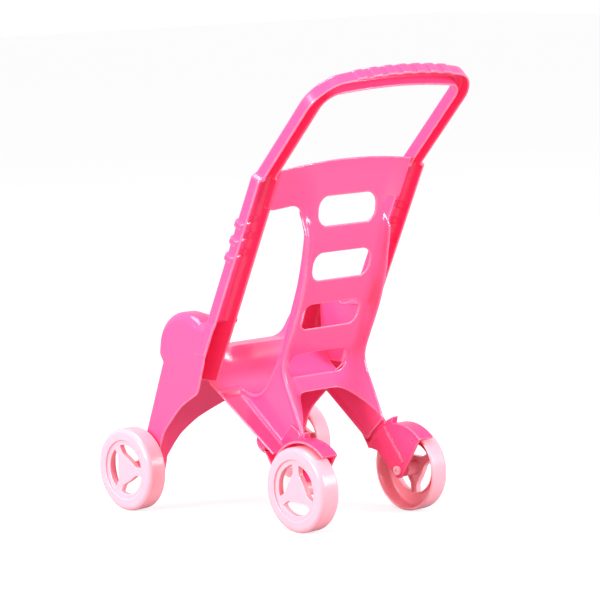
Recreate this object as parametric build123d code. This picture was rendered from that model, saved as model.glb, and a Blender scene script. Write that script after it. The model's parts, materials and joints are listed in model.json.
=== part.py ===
"""Doll stroller: a front frame, a rear shell, two rear brackets and four wheels on stub axles.

Millimetres, +Z up, +X to the stroller's left, the stroller faces -Y.
The pieces are laid out from the seat's lowest point (y = 0), with the axles at axle_level,
and moved at the end, so that the wheels stand on z = 0 under the middle of the whole object.
"""
from build123d import *
import os
from math import cos, degrees, radians, sin, sqrt, tan

# ---------------------------------------------------------------- driving dimensions
wall = 2.5                    # moulded wall of the frame, the shell and the brackets
wheel_diameter = 95.0
wheel_width = 24.0
front_axle_y = -146.0
rear_axle_y = 97.0
axle_level = 47.5             # height of both axles on the frame; larger wheels lift the whole frame
front_wheel_gap = 2.5         # from a foot to the inner face of its wheel
rear_wheel_gap = 9.2          # from a rear bracket's inner side to the inner face of its wheel

handle_width = 238.0          # across the outside of the handle's arms
handle_reach = 153.5          # from the shoulder to the top of the bar, along the handle
handle_crown = 15.5           # rise of the bar at its middle
handle_lean = 43.4            # degrees back from upright
handle_depth = 15.0           # front to back of the handle's channel
arm_band = 19.0               # side to side of an arm's channel
bar_band = 21.0               # the same for the grip bar
handle_corner = 34.0          # outer corner radius of the loop
inner_corner = 15.0           # inner corner radius of the loop

leg_width = 250.0             # across the outside of the front legs
leg_band = 31.0               # side to side of a front leg's channel
leg_lean = 26.3               # degrees back from upright
leg_depth = 17.3              # front to back of a leg's channel, level
shoulder_y = 87.0             # rear rim of the leg at the shoulder
shoulder_z = 391.0
shoulder_top_z = 398.0        # front edge of the cap that closes each leg at the shoulder
foot_width = 228.0            # across the outside of the feet, between the front wheels
foot_inner = 69.0             # half the gap between the feet
lobe_radius = 44.0            # knee lobe in front of each leg
lobe_y = -54.0
lobe_z = 191.5
lobe_side = 69.0              # where the lobe's inner flank stands, in the front view
valley_z = 187.0              # top of the apron between the lobes
valley_half = 44.0            # half the level stretch of the valley
arch_z = 113.0                # top of the arch under the apron
arch_foot_z = 45.0            # where the arch meets the upright inner edge of a foot
apron_back = -63.0            # rear limit of the apron and lobes between the legs
taper_top_z = 185.0           # the outer plate draws in to the foot between these two heights
taper_low_z = 85.0
foot_open_y = -141.0          # the foot's lower wall ends here

shell_half = 62.0             # half width of the back panel and the rear legs
panel_top_z = 407.0
panel_edge_z = 398.0          # the panel's top at its ends
slot_half = 43.0
slot_levels = [(333.5, 366.5), (272.0, 303.0), (215.5, 244.0), (158.5, 186.5)]

pin_radius = 3.0
pin_head_radius = 5.2
pin_head_length = 2.4
pin_running_gap = 0.06        # radial gap of the pin in a fixed bore
pin_grip_gap = 0.02           # radial gap of the pin in its own wheel
side_gap = 0.4                # free play along each axle
seat_gap = 0.3                # between pieces that clip together
boss_radius = 8.0

# ---------------------------------------------------------------- derived values
wheel_radius = wheel_diameter / 2
leg_out = leg_width / 2
leg_in = leg_out - leg_band
foot_out = foot_width / 2
plate_in = shell_half + seat_gap
front_inner = foot_out + front_wheel_gap
rear_inner = plate_in + rear_wheel_gap
lean = radians(leg_lean)
up_y = sin(radians(handle_lean))
up_z = cos(radians(handle_lean))
RIGHT = Plane.YZ


def side_face(points):
    """A face in the side view from (y, z) points."""
    return make_face(RIGHT * Polyline(*points, close=True))


def slab(face, x_from, x_to):
    """A side-view face made solid between two values of x."""
    return extrude(Pos(x_from, 0, 0) * face, amount=x_to - x_from, dir=(1, 0, 0))


def front_slab(face, y_from, y_to):
    """A front-view face, drawn in x and z, made solid between two values of y."""
    return extrude(Pos(0, y_from, 0) * face, amount=y_to - y_from, dir=(0, 1, 0))


def front_face(points):
    """A face in the front view from (x, z) points."""
    return make_face(Polyline(*[(x, 0, z) for x, z in points], close=True))


def both(piece):
    """A left-hand solid and its mirror image."""
    return piece + mirror(piece, about=Plane.YZ)


def tube(x_from, x_to, radius, y, z):
    """A round bar along x."""
    return Pos((x_from + x_to) / 2, y, z) * Rot(0, 90, 0) * Cylinder(radius, abs(x_to - x_from))


# ---------------------------------------------------------------- front frame
def leg_rim(z):
    """y of a front leg's open rear rim at height z."""
    return shoulder_y - (shoulder_z - z) * tan(lean)


def leg_front(z):
    """y of a front leg's front wall at height z."""
    return leg_rim(z) - leg_depth


knee_z = 172.0                # where the leg's rear rim turns forward under the seat
lobe_top_z = 229.0            # where the lobe leaves the leg's front wall
lobe_foot = (-91.4, 176.0)    # where the lobe runs into the lower leg
foot_front = (-157.0, 52.0)
foot_round = 17.0
rear_low = (-111.0, 76.0)     # the lower leg's rear rim, from the foot up to the knee
rear_mid = (-97.0, 98.0)
rear_high = (-75.0, 118.5)
rear_bend = (-41.0, 139.5)


def on_lobe(across, up, inset):
    """A point on the lobe's round outline, by its direction from the lobe's middle."""
    radius = lobe_radius - inset
    return (lobe_y + across * radius, lobe_z + up * radius)


def side_outline(inset, back):
    """The leg, the lobe and the lower leg seen from the side.

    inset moves the front edge inwards by a wall; back moves the rear rim outwards.
    """
    cap_z = shoulder_top_z - inset
    top_front = (leg_front(cap_z) + inset, cap_z)
    fall = (shoulder_top_z - shoulder_z) / (shoulder_y - leg_front(shoulder_top_z))
    top_rear = (shoulder_y + back, cap_z - fall * (shoulder_y + back - leg_front(cap_z)))
    joint = (leg_front(lobe_top_z) + inset, lobe_top_z)
    lobe_up = on_lobe(0, 1, inset)
    lobe_ahead = on_lobe(-1, 0, inset)
    lobe_end = (lobe_foot[0] + inset, lobe_foot[1])
    foot_top = (foot_front[0] + inset, foot_front[1])
    foot_low = (front_axle_y + 2, axle_level - foot_round + inset)
    foot_rear = (front_axle_y + foot_round + back, axle_level - foot_round + inset)
    low = (rear_low[0] + back, rear_low[1])
    high = (rear_high[0] + back, rear_high[1])
    knee = (leg_rim(knee_z) + back, knee_z)
    run = [
        Line(top_front, joint),
        ThreePointArc(joint, on_lobe(0.62, 0.82, inset), lobe_up),
        ThreePointArc(lobe_up, on_lobe(-0.707, 0.707, inset), lobe_ahead),
        ThreePointArc(lobe_ahead, (lobe_ahead[0] + 1.6, lobe_z - 9), lobe_end),
        Line(lobe_end, foot_top),
        ThreePointArc(foot_top, (foot_top[0] + 4, foot_top[1] - 13), foot_low),
        Line(foot_low, foot_rear),
        Line(foot_rear, low),
        ThreePointArc(low, (rear_mid[0] + back, rear_mid[1]), high),
        ThreePointArc(high, (rear_bend[0] + back, rear_bend[1]), knee),
        Line(knee, top_rear),
        Line(top_rear, top_front),
    ]
    return make_face(Curve() + [RIGHT * part for part in run])


def lobe_line(inset):
    """The front view's line from the middle of the valley up over a lobe to the leg's inner wall."""
    low = (0, 0, valley_z - inset)
    turn = (valley_half + inset / 2, 0, valley_z - inset)
    flank = (lobe_side + inset, 0, valley_z + 29 - inset)
    crest = (leg_in + inset, 0, valley_z + 58 - 3.6 * inset)
    return [
        Line(low, turn),
        ThreePointArc(turn, (lobe_side - 9 + inset, 0, valley_z + 8), flank),
        ThreePointArc(flank, (lobe_side + 8 + inset, 0, valley_z + 44 - inset), crest),
    ]


def outer_line(inset, low_z):
    """The front view's line from the top of the lobe down the outer plate to the foot."""
    top = (leg_in + inset, 0, valley_z + 58 - 3.6 * inset)
    side = (leg_out - inset, 0, top[2])
    step = (leg_out - inset, 0, taper_top_z)
    stepped = (foot_out - inset, 0, taper_low_z)
    foot = (foot_out - inset, 0, low_z)
    return [Line(top, side), Line(side, step), Line(step, stepped), Line(stepped, foot)]


front_y = -220.0              # these planes lie clear of the frame, ahead of it and behind it
behind_y = 200.0
foot_low_z = 28.0
foot_tip = 92.0               # each foot's inner edge turns outwards on its way down to its lowest stretch
foot_turn = (77.0, 0, 33.0)


def leg_box(inset, low_z):
    """The front view's upright strip of the left leg, made solid."""
    tall_z = shoulder_top_z + 22
    near = leg_in + inset
    far = leg_out - inset
    face = front_face([(near, tall_z), (far, tall_z), (far, low_z), (near, low_z)])
    return front_slab(face, front_y, behind_y)


def legs_and_apron():
    """The outer form of both legs, both lobes and the apron."""
    whole = slab(side_outline(0, 0), -leg_out, leg_out)
    bottom = [
        Line((foot_out, 0, foot_low_z), (foot_tip, 0, foot_low_z)),
        ThreePointArc((foot_tip, 0, foot_low_z), foot_turn, (foot_inner, 0, arch_foot_z)),
        ThreePointArc((foot_inner, 0, arch_foot_z), (0.68 * foot_inner, 0, arch_z - 22), (0, 0, arch_z)),
        Line((0, 0, arch_z), (0, 0, valley_z)),
    ]
    low_face = make_face(Curve() + lobe_line(0) + outer_line(0, foot_low_z) + bottom)
    low = front_slab(low_face, front_y, behind_y)
    body = whole & (both(leg_box(0, lobe_z)) + both(low))
    # between the legs only the apron and the lobes stay, ahead of the seat
    clear = Pos(0, apron_back + 150, 250) * Box(2 * leg_in, 300, 500)
    return body - clear


def hollow():
    """What is cored out of the legs, lobes and apron from behind."""
    side = slab(side_outline(wall, 60), -leg_out, leg_out)
    deep_z = foot_low_z - 8
    bottom = [
        Line((foot_out - wall, 0, deep_z), (0, 0, deep_z)),
        Line((0, 0, deep_z), (0, 0, valley_z - wall)),
    ]
    core_face = make_face(Curve() + lobe_line(wall) + outer_line(wall, deep_z) + bottom)
    core = front_slab(core_face, front_y, behind_y)
    leg_core = leg_box(wall, lobe_z - 40)
    # the inner wall of each leg stays behind the apron, down to just above the seat's front corners
    inner_wall = Pos(leg_in + wall / 2, 150 + apron_back, 310) * Box(wall, 300, 300)
    long_y = behind_y - foot_open_y
    under = Pos(0, foot_open_y + long_y / 2, foot_low_z + 6) * Box(2 * (foot_out - wall), long_y, 12)
    return (side & (both(leg_core) + both(core))) - both(inner_wall) + under


def handle_plane():
    """The slanted plane of the loop's open rear rims, with its own y up the handle."""
    return Plane(origin=(0, shoulder_y, shoulder_z), x_dir=(1, 0, 0), z_dir=(0, -up_z, up_y))


def loop_face(half, top, crown, corner, start):
    """The outline of the inverted U, in the plane of the handle."""
    side = top - crown
    curve = Curve() + [
        Line((-half, start), (-half, side)),
        ThreePointArc((-half, side), (0, top), (half, side)),
        Line((half, side), (half, start)),
        Line((half, start), (-half, start)),
    ]
    face = make_face(curve)
    tips = face.vertices().sort_by(Axis.Y)[-2:]
    return fillet(tips, corner)


def handle_band(inset, start):
    """The loop's band between its outer and inner outlines, narrowed by inset on each side."""
    half = handle_width / 2
    top = handle_reach
    outer = loop_face(half - inset, top - inset, handle_crown, handle_corner - inset, start)
    inner_half = half - arm_band + inset
    inner_top = top - bar_band + inset
    inner = loop_face(inner_half, inner_top, handle_crown - 3, inner_corner + inset, start - 5)
    return outer - inner


def handle_outer():
    """The solid form of the loop."""
    return extrude(handle_plane() * handle_band(0, -4), amount=handle_depth)


def handle_core():
    """What is cored out of the loop from behind."""
    core = extrude(handle_plane() * handle_band(wall, -4), amount=handle_depth - wall)
    rear = extrude(handle_plane() * handle_band(wall, -4), amount=-4)
    return core + rear


grip_ribs = 7
grip_pitch = 21.0
grip_rib_width = 9.0
leg_ribs = 3
leg_rib_top_z = 342.8         # the highest rib, on the leg's front edge
leg_rib_pitch = 18.9
leg_rib_width = 8.0
rib_height = 2.0


def grip_rib(place):
    """One low rib across the top of the grip, at a distance from its middle."""
    sag = handle_crown * (place / (handle_width / 2)) ** 2
    sunk = 0.6
    spot = handle_plane() * Pos(place, handle_reach - sag - sunk, handle_depth / 2)
    turn = degrees(-2 * handle_crown * place / (handle_width / 2) ** 2)
    bar = Cylinder(rib_height + sunk, handle_depth - 1.0)
    squeeze = grip_rib_width / 2 / (rib_height + sunk)
    return spot * Rot(0, 0, turn) * scale(bar, by=(squeeze, 1, 1))


def leg_rib(number):
    """One low rib across the front and the outer side of the left leg."""
    z = leg_rib_top_z - leg_rib_pitch * number
    depth = 0.6 * leg_depth
    side = leg_out + rib_height - 0.5
    middle = (leg_in + 3 + side) / 2
    bar = Pos(0, depth / 2 - rib_height, 0) * Box(2 * (side - middle), depth, leg_rib_width)
    return Pos(middle, leg_front(z), z) * Rot(-leg_lean, 0, 0) * bar


foot_boss_length = 12.0       # inside the foot, behind the bore's outer end


def front_frame():
    """The whole front moulding."""
    body = legs_and_apron() + handle_outer()
    for n in range(leg_ribs):
        body = body + both(leg_rib(n))
    body = body - hollow() - handle_core()
    boss_start = foot_out - foot_boss_length
    boss = tube(boss_start, front_inner - side_gap, boss_radius, front_axle_y, axle_level)
    body = body + both(boss)
    bore = tube(boss_start - 30, front_inner + 5, pin_radius + pin_running_gap, front_axle_y, axle_level)
    body = body - both(bore)
    for n in range(grip_ribs):
        body = body + grip_rib(grip_pitch * (n - (grip_ribs - 1) / 2))
    return body


# ---------------------------------------------------------------- rear shell
seat_line = [(-62.5, 186), (-58, 168), (-46, 151.5), (-28, 142), (-6, 137), (11, 143), (26, 158)]
panel_line = [(41, 186.5), (64, 244), (83, 303), (92.5, 350), (96.5, 407)]
corner_line = [(93.5, 345), (90.5, 305), (83, 271), (65, 220), (48.5, 186), (46.5, 172), (50, 159), (57, 145)]
leg_top = (-19.0, 131.0)
fender_radius = wheel_radius + 3.5


def round_axle(radius, angle):
    """A point at a radius and an angle from the rear axle, seen from the side."""
    return (rear_axle_y + radius * cos(radians(angle)), axle_level + radius * sin(radians(angle)))


def off_fender(gap, angle):
    """A point at a gap outside the rear fender's outer side, seen from the side."""
    return round_axle(fender_radius + wall + gap, angle)


leg_tip = off_fender(6.45, 110.9)   # rear corner of a rear leg's end
leg_toe = off_fender(4.05, 145.6)   # front corner
crotch_half = 35.0
crotch = (38.0, 141.0)        # lower edge of the lip over the arch between the rear legs
crotch_top = (27.0, 159.0)
flange_reach = 24.0
seat_corner_y = -26.0         # rear limit of the seat's wide front corners


def sheet_curve(offset):
    """The back and seat seen from the side, as one curve, moved forwards and up by offset."""
    base = Spline(*seat_line, *panel_line)
    count = 24
    points = []
    for n in range(count + 1):
        at = n / count
        spot = base @ at
        run = base % at
        points.append((spot.X - offset * run.Y, spot.Y + offset * run.X))
    return points


def back_and_seat():
    """The continuous sheet of the back panel and the seat pan."""
    rear = sheet_curve(0)
    front = sheet_curve(wall)
    edge = Curve() + [
        RIGHT * Spline(*rear),
        RIGHT * Line(rear[-1], front[-1]),
        RIGHT * Spline(*front[::-1]),
        RIGHT * Line(front[0], rear[0]),
    ]
    face = make_face(edge)
    sheet = slab(face, -shell_half, shell_half)
    # the front corners reach out to the legs' inner walls
    wide = slab(face, -leg_in + seat_gap, leg_in - seat_gap)
    corner = Pos(0, seat_corner_y - 55, 150) * Box(2 * leg_in, 110, 120)
    return sheet + (wide & corner)


def panel_y(z):
    """y of the panel's rear face at height z, on its straight upper part."""
    base = Spline(*seat_line, *panel_line)
    low, high = 0.3, 1.0
    for _ in range(40):
        middle = (low + high) / 2
        if (base @ middle).Y < z:
            low = middle
        else:
            high = middle
    return (base @ low).X


def side_plate():
    """The left side wall of the panel, which runs down as the rear leg's web."""
    inside = sheet_curve(wall / 2)
    climb = [p for p in inside if p[1] < 340 and (p[0] > -20)]
    edge = Curve() + [
        RIGHT * Spline(*corner_line, leg_tip),
        RIGHT * Line(leg_tip, leg_toe),
        RIGHT * Line(leg_toe, leg_top),
        RIGHT * Line(leg_top, climb[0]),
        RIGHT * Spline(*climb),
        RIGHT * Line(climb[-1], corner_line[0]),
    ]
    return slab(make_face(edge), shell_half - wall, shell_half)


def front_flange():
    """The flange along the front of the left rear leg."""
    run_y = leg_toe[0] - leg_top[0]
    run_z = leg_toe[1] - leg_top[1]
    long = sqrt(run_y ** 2 + run_z ** 2)
    lift_y = -run_z / long * wall
    lift_z = run_y / long * wall
    toe_up = (leg_toe[0] + lift_y, leg_toe[1] + lift_z)
    top_up = (leg_top[0] + lift_y, leg_top[1] + lift_z)
    near = shell_half - wall
    far = shell_half + flange_reach
    flange = slab(side_face([leg_top, leg_toe, toe_up, top_up]), near, far)
    # the flange's top turns up to the seat's front corner
    under_seat = [(seat_corner_y + 2, 143.5), (seat_corner_y - 3, 142)]
    return flange + slab(side_face([leg_top, top_up] + under_seat), near, far)


def strip(y_low, z_low, y_high, z_high, x):
    """A thin four-cornered section at x, for the flared plates."""
    rise = wall / 5
    low = (y_low - wall, z_low + rise)
    high = (y_high - wall, z_high + rise)
    return Pos(x, 0, 0) * side_face([(y_low, z_low), (y_high, z_high), high, low])


def rear_flare():
    """The slanted rear wall of the left rear leg, and half of the lip over the arch."""
    inner = strip(*crotch, *crotch_top, crotch_half)
    outer = strip(*leg_tip, *corner_line[5], shell_half - 0.3)
    flare = loft([inner, outer], ruled=True)
    inside = [(crotch_top[0] - wall, crotch_top[1]), (crotch[0] - wall, crotch[1])]
    lip = slab(side_face([crotch, crotch_top] + inside), 0, crotch_half)
    return flare + lip


wing_low_z = 346.0            # lower edge of the wing where it meets the panel
wing_hem_z = 352.0            # lower edge of the wing where it crosses the leg's inner wall
wing_reach = 17.0             # how far the wing's lower end goes into the leg's channel
wing_stand = 0.3              # behind the rims of the legs
hook_depth = 8.3              # how far the wing's hook goes into the leg's channel


def behind_rim(z, back):
    """A (y, z) point behind the front leg's rear rim."""
    return (leg_rim(z) + wing_stand + back, z)


def wing():
    """The left wing, from the panel to over the leg's inner wall, with its hook."""
    high = panel_top_z + 3
    low_root = wing_low_z - 8
    root = strip(panel_y(low_root), low_root, panel_y(panel_top_z - 2), high, shell_half - 12)
    low = behind_rim(wing_low_z, wall)
    top = behind_rim(shoulder_z, wall)
    blade = loft([root, strip(*low, top[0] + 4, high, leg_in - 1)], ruled=True)
    crossing = side_face([low, top, behind_rim(shoulder_z, 0), behind_rim(wing_low_z, 0)])
    over = slab(crossing, leg_in - 1.5, leg_out)
    end = front_slab(front_face([
        (leg_in - 3, wing_hem_z - 8),
        (leg_in - 3, shoulder_z),
        (leg_in + 2, shoulder_z - 1),
        (leg_in + 6, shoulder_z - 10),
        (leg_in + wing_reach, wing_hem_z + 12),
        (leg_in + wing_reach - 5, wing_hem_z + 5),
        (leg_in + 3, wing_hem_z),
    ]), 0, behind_y)
    hook_low = wing_hem_z + 3
    hook_top = shoulder_z - 13
    catch = side_face([
        behind_rim(hook_low, 1),
        behind_rim(hook_top, 1),
        behind_rim(hook_top, -hook_depth),
        behind_rim(hook_low, -hook_depth),
    ])
    hook = slab(catch, leg_in + wall + seat_gap, leg_in + 2 * wall + seat_gap)
    return blade + (over & end) + hook


def slot(low, high):
    """A rounded slot through the panel."""
    tall = high - low
    shape = Pos(0, 0, (low + high) / 2) * Rot(90, 0, 0) * RectangleRounded(2 * slot_half, tall, 0.42 * tall)
    return extrude(Pos(0, -20, 0) * shape, amount=140, dir=(0, 1, 0))


def rear_shell():
    """The whole rear moulding."""
    sheet = back_and_seat()
    crown = Curve() + [
        ThreePointArc((-leg_in, 0, panel_edge_z), (0, 0, panel_top_z), (leg_in, 0, panel_edge_z)),
        Line((leg_in, 0, panel_edge_z), (leg_in, 0, panel_top_z + 40)),
        Line((leg_in, 0, panel_top_z + 40), (-leg_in, 0, panel_top_z + 40)),
        Line((-leg_in, 0, panel_top_z + 40), (-leg_in, 0, panel_edge_z)),
    ]
    above = front_slab(make_face(crown), 40, 140)
    left = side_plate() + front_flange() + rear_flare() + wing()
    body = sheet + left + mirror(left, about=Plane.YZ)
    wing_arch = (leg_in - shell_half) / 2
    arch = Pos(shell_half + wing_arch, 80, wing_low_z - 8) * Rot(90, 0, 0) * Cylinder(wing_arch, 120)
    body = body - both(arch) - above
    for low, high in slot_levels:
        body = body - slot(low, high)
    return body


# ---------------------------------------------------------------- rear brackets
plate_out = plate_in + 3.0
fender_from = 48.0            # degrees up from level, behind the axle
fender_to = 157.0
fender_reach = 22.0
ridge_height = 1.2
tab_width = 9.0


def bracket_left():
    """The left axle bracket: side plate, fender, front plate, snap tab, ridge and axle boss."""
    inner = fender_radius
    outer = fender_radius + wall
    middle = (fender_from + fender_to) / 2
    rear = round_axle(outer, fender_from)
    toe = round_axle(outer, fender_to)
    arc = ThreePointArc(rear, round_axle(outer, middle), toe)
    under_rear = round_axle(inner, fender_from)
    under_toe = round_axle(inner, fender_to)
    under_arc = ThreePointArc(under_rear, round_axle(inner, middle), under_toe)
    fender_edge = [arc, Line(toe, under_toe), under_arc, Line(under_rear, rear)]
    fender_face = make_face(Curve() + [RIGHT * part for part in fender_edge])
    fender = slab(fender_face, plate_in, plate_in + fender_reach)

    eye = boss_radius + 1
    eye_front = round_axle(eye, 228)
    eye_rear = round_axle(eye, 342)
    knuckle = off_fender(-13.9, 152)
    plate_edge = [
        arc,
        Line(toe, knuckle),
        Line(knuckle, eye_front),
        ThreePointArc(eye_front, round_axle(eye, 285), eye_rear),
        Line(eye_rear, rear),
    ]
    plate = slab(make_face(Curve() + [RIGHT * part for part in plate_edge]), plate_in, plate_out)
    # the plug stands against the outside of the leg's web, behind its front flange
    plug = slab(side_face([
        off_fender(-2.6, 141.8),
        off_fender(3.1, 140.4),
        off_fender(17.2, 141.0),
        off_fender(21.7, 119.5),
        off_fender(11.0, 112.8),
        off_fender(-7.1, 106.3),
    ]), plate_in, plate_out)
    toe_back = (toe[0] + 3.2, toe[1] + 1.0)
    front_plate = side_face([off_fender(22.6, 146.5), toe, toe_back, off_fender(18.7, 147.3)])
    front = slab(front_plate, plate_in, shell_half + flange_reach)
    barb = [off_fender(-0.5, 111), off_fender(4.8, 108), off_fender(7.9, 96.5), off_fender(-3, 101.4)]
    tab = slab(side_face(barb), plate_in, plate_in + tab_width)
    crest = [off_fender(0.2, 116.6), off_fender(0.3, 113), round_axle(14.5, 46.4), round_axle(11, 50.5)]
    ridge = slab(side_face(crest), plate_in - ridge_height, plate_in + 1)
    boss = tube(plate_in, rear_inner - side_gap, boss_radius, rear_axle_y, axle_level)
    bore = tube(plate_in - 5, rear_inner + 5, pin_radius + pin_running_gap, rear_axle_y, axle_level)
    return fender + plate + plug + front + tab + ridge + boss - bore


# ---------------------------------------------------------------- wheels and axles
tyre_round = 5.0
rim_wall = 3.0
recess_radius = 34.0
recess_depth = 2.5
opening_radius = 28.5
hub_flat = 14.0               # from the middle to each side of the three-cornered hub
spoke_half = 4.2
disc_thick = 3.0
hub_radius = 8.0
bore_depth = 15.5
wheel_turns = {"front_left": -90, "front_right": 40, "rear_left": 0, "rear_right": 180}


def wheel():
    """One wheel, with its inner face at x = 0 and its outer face towards +x."""
    r = wheel_radius
    w = wheel_width
    face = w - recess_depth
    tyre_bulge = tyre_round * (1 - sqrt(0.5))
    profile = Curve() + [
        Line((0, r - rim_wall - 2), (0, r - 3)),
        ThreePointArc((0, r - 3), (0.88, r - 0.88), (3, r)),
        Line((3, r), (w - tyre_round, r)),
        ThreePointArc((w - tyre_round, r), (w - tyre_bulge, r - tyre_bulge), (w, r - tyre_round)),
        Line((w, r - tyre_round), (w, recess_radius + 2)),
        ThreePointArc((w, recess_radius + 2), (w - 0.6, recess_radius + 0.6), (w - 2, recess_radius)),
        Line((w - 2, recess_radius), (face, recess_radius)),
        Line((face, recess_radius), (face, 0)),
        Line((face, 0), (face - disc_thick, 0)),
        Line((face - disc_thick, 0), (face - disc_thick, r - rim_wall - 4)),
        ThreePointArc((face - disc_thick, r - rim_wall - 4), (face - disc_thick - 1.2, r - rim_wall - 1.2),
                      (face - disc_thick - 4, r - rim_wall)),
        Line((face - disc_thick - 4, r - rim_wall), (2, r - rim_wall)),
        Line((2, r - rim_wall), (0, r - rim_wall - 2)),
    ]
    # the profile's x runs along the axle and its y is the radius
    body = revolve(make_face(profile), Axis.X)
    hub = tube(0, face - 1, hub_radius, 0, 0)
    bore = tube(-1, bore_depth, pin_radius + pin_grip_gap, 0, 0)
    body = body + hub - bore
    for n in range(3):
        window = opening()
        body = body - Rot(120 * n, 0, 0) * window
    return body


def opening():
    """One of the three windows between the hub and the recess, below the hub."""
    half = sqrt(opening_radius ** 2 - hub_flat ** 2)
    sketch = Curve() + [
        RIGHT * Line((-half, -hub_flat), (half, -hub_flat)),
        RIGHT * ThreePointArc((half, -hub_flat), (0, -opening_radius), (-half, -hub_flat)),
    ]
    segment = slab(make_face(sketch), 5, wheel_width + 5)
    spokes = []
    for turn in (60, -60):
        arm = Rot(turn, 0, 0) * Pos(15, 0, -20) * Box(40, 2 * spoke_half, 40)
        spokes.append(arm)
    return segment - spokes[0] - spokes[1]


def pin(x_head, wheel_inner, y):
    """One stub axle on the left: head at x_head, shaft into the blind bore of its wheel."""
    head = tube(x_head - pin_head_length, x_head, pin_head_radius, y, axle_level)
    shaft = tube(x_head - 1, wheel_inner + bore_depth - 0.3, pin_radius, y, axle_level)
    dimple = tube(x_head - pin_head_length - 1, x_head - pin_head_length + 1.2, 2.2, y, axle_level)
    return head + shaft - dimple


# ---------------------------------------------------------------- the assembly
def assembly():
    """Every piece by name, in the building frame."""
    pieces = {"front_frame": front_frame(), "rear_shell": rear_shell()}
    bracket = bracket_left()
    pieces["rear_bracket_left"] = bracket
    pieces["rear_bracket_right"] = mirror(bracket, about=Plane.YZ)
    one = wheel()
    ends = {
        "front": (front_axle_y, front_inner, foot_out - foot_boss_length - side_gap),
        "rear": (rear_axle_y, rear_inner, plate_in - side_gap),
    }
    for end, (y, inner, head) in ends.items():
        stub = pin(head, inner, y)
        left = Pos(inner, y, axle_level) * Rot(wheel_turns[end + "_left"], 0, 0) * one
        right = Pos(inner, y, axle_level) * Rot(wheel_turns[end + "_right"], 0, 0) * one
        pieces[end + "_wheel_left"] = left
        pieces[end + "_wheel_right"] = mirror(right, about=Plane.YZ)
        pieces[end + "_axle_left"] = stub
        pieces[end + "_axle_right"] = mirror(stub, about=Plane.YZ)
    return pieces


def main():
    """Build, centre and write every piece."""
    pieces = assembly()
    box = Compound(children=list(pieces.values())).bounding_box()
    shift = -(box.min.Y + box.max.Y) / 2
    lift = wheel_radius - axle_level
    os.makedirs("parts", exist_ok=True)
    for name, piece in pieces.items():
        solids = piece.solids()
        placed = Pos(0, shift, lift) * (solids[0] if len(solids) == 1 else piece)
        export_step(placed, "parts/" + name + ".step")
        print(name, len(solids), round(piece.volume))
    print("moved along y by", round(shift, 3))
    print("front axle y", round(front_axle_y + shift, 3), "rear axle y", round(rear_axle_y + shift, 3))


if __name__ == "__main__":
    main()
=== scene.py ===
"""The doll stroller's looks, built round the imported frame.

Every moulding is described by a distance function in millimetres, negative inside the plastic, and surface()
meshes the place where it is zero. The front and rear mouldings are described for the left half (x >= 0), and
their mesh is mirrored. The last number given to meet, join and cut is the radius of the rounding.
"""
import json
import math

import bpy
import numpy as np
from mathutils import Matrix, Vector


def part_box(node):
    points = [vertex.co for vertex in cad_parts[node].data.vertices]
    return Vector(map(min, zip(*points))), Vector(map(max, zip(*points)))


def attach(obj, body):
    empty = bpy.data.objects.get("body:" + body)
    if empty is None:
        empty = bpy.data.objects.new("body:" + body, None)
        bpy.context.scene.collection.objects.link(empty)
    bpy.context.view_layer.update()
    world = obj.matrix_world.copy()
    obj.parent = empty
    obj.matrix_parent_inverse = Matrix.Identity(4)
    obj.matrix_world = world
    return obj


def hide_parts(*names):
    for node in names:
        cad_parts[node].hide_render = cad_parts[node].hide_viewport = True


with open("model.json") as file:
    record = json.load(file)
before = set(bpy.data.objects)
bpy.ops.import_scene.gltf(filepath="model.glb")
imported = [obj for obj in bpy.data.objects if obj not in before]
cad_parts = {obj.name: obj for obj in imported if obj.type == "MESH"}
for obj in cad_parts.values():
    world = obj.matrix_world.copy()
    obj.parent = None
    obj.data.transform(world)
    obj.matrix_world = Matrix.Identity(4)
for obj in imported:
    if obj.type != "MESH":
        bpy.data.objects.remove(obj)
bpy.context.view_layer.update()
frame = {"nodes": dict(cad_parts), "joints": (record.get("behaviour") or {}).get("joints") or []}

MM = 0.001
anchors = {joint["child"]: Vector(joint["pos_m"]) / MM for joint in frame["joints"]}

# ---------------------------------------------------------------- sizes, in millimetres
wall = 2.5
rim = 1.0                     # rounding of a wall's free edge
rear_axle = anchors["rear_wheel_left_body"]
front_axle = anchors["front_wheel_left_body"]
axle_y, axle_z = 97.0, 47.5   # where the outlines below have the rear axle
shift = rear_axle.y - axle_y
lift = rear_axle.z - axle_z
front_box = [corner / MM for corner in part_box("front_frame")]
shell_box = [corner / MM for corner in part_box("rear_shell")]
wheel_box = [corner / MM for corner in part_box("rear_wheel_left")]

handle_half = 119.0           # half the loop's width
handle_top = 153.5            # along the handle from the shoulder to the top of the bar
handle_crown = 15.5           # how much the grip drops towards its ends
handle_lean = math.radians(43.4)
handle_depth = 15.0
arm_band = 19.0               # width of the loop's arms
bar_band = 21.0               # and of its grip
loop_corner = 33.0
loop_inner_corner = 16.0
leg_out = 125.0               # outer and inner faces of a front leg
leg_in = 94.0
leg_lean = math.radians(26.3)
leg_depth = 17.3
shoulder_y, shoulder_z = 87.0, 391.0    # where a leg's rim turns into the handle's
foot_out = 114.0
foot_inner = 69.0
lobe_y, lobe_z, lobe_radius = -54.0, 191.5, 44.0
valley_z = 187.0              # the apron's top between the lobes
arch_z = 113.0                # and the top of its arch
apron_back = -63.0
shell_half = 62.0             # outer faces of the rear legs and of the back's side walls
panel_top_z = 407.0
panel_drop = 6.5              # how much lower the panel's top is at its ends
slot_half = 43.0
slots = [(333.5, 366.5), (272.0, 303.0), (215.5, 244.0), (158.5, 186.5)]


# ---------------------------------------------------------------- distance functions
def slab(v, low, high):
    """Between two values."""
    return np.maximum(low - v, v - high)


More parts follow.
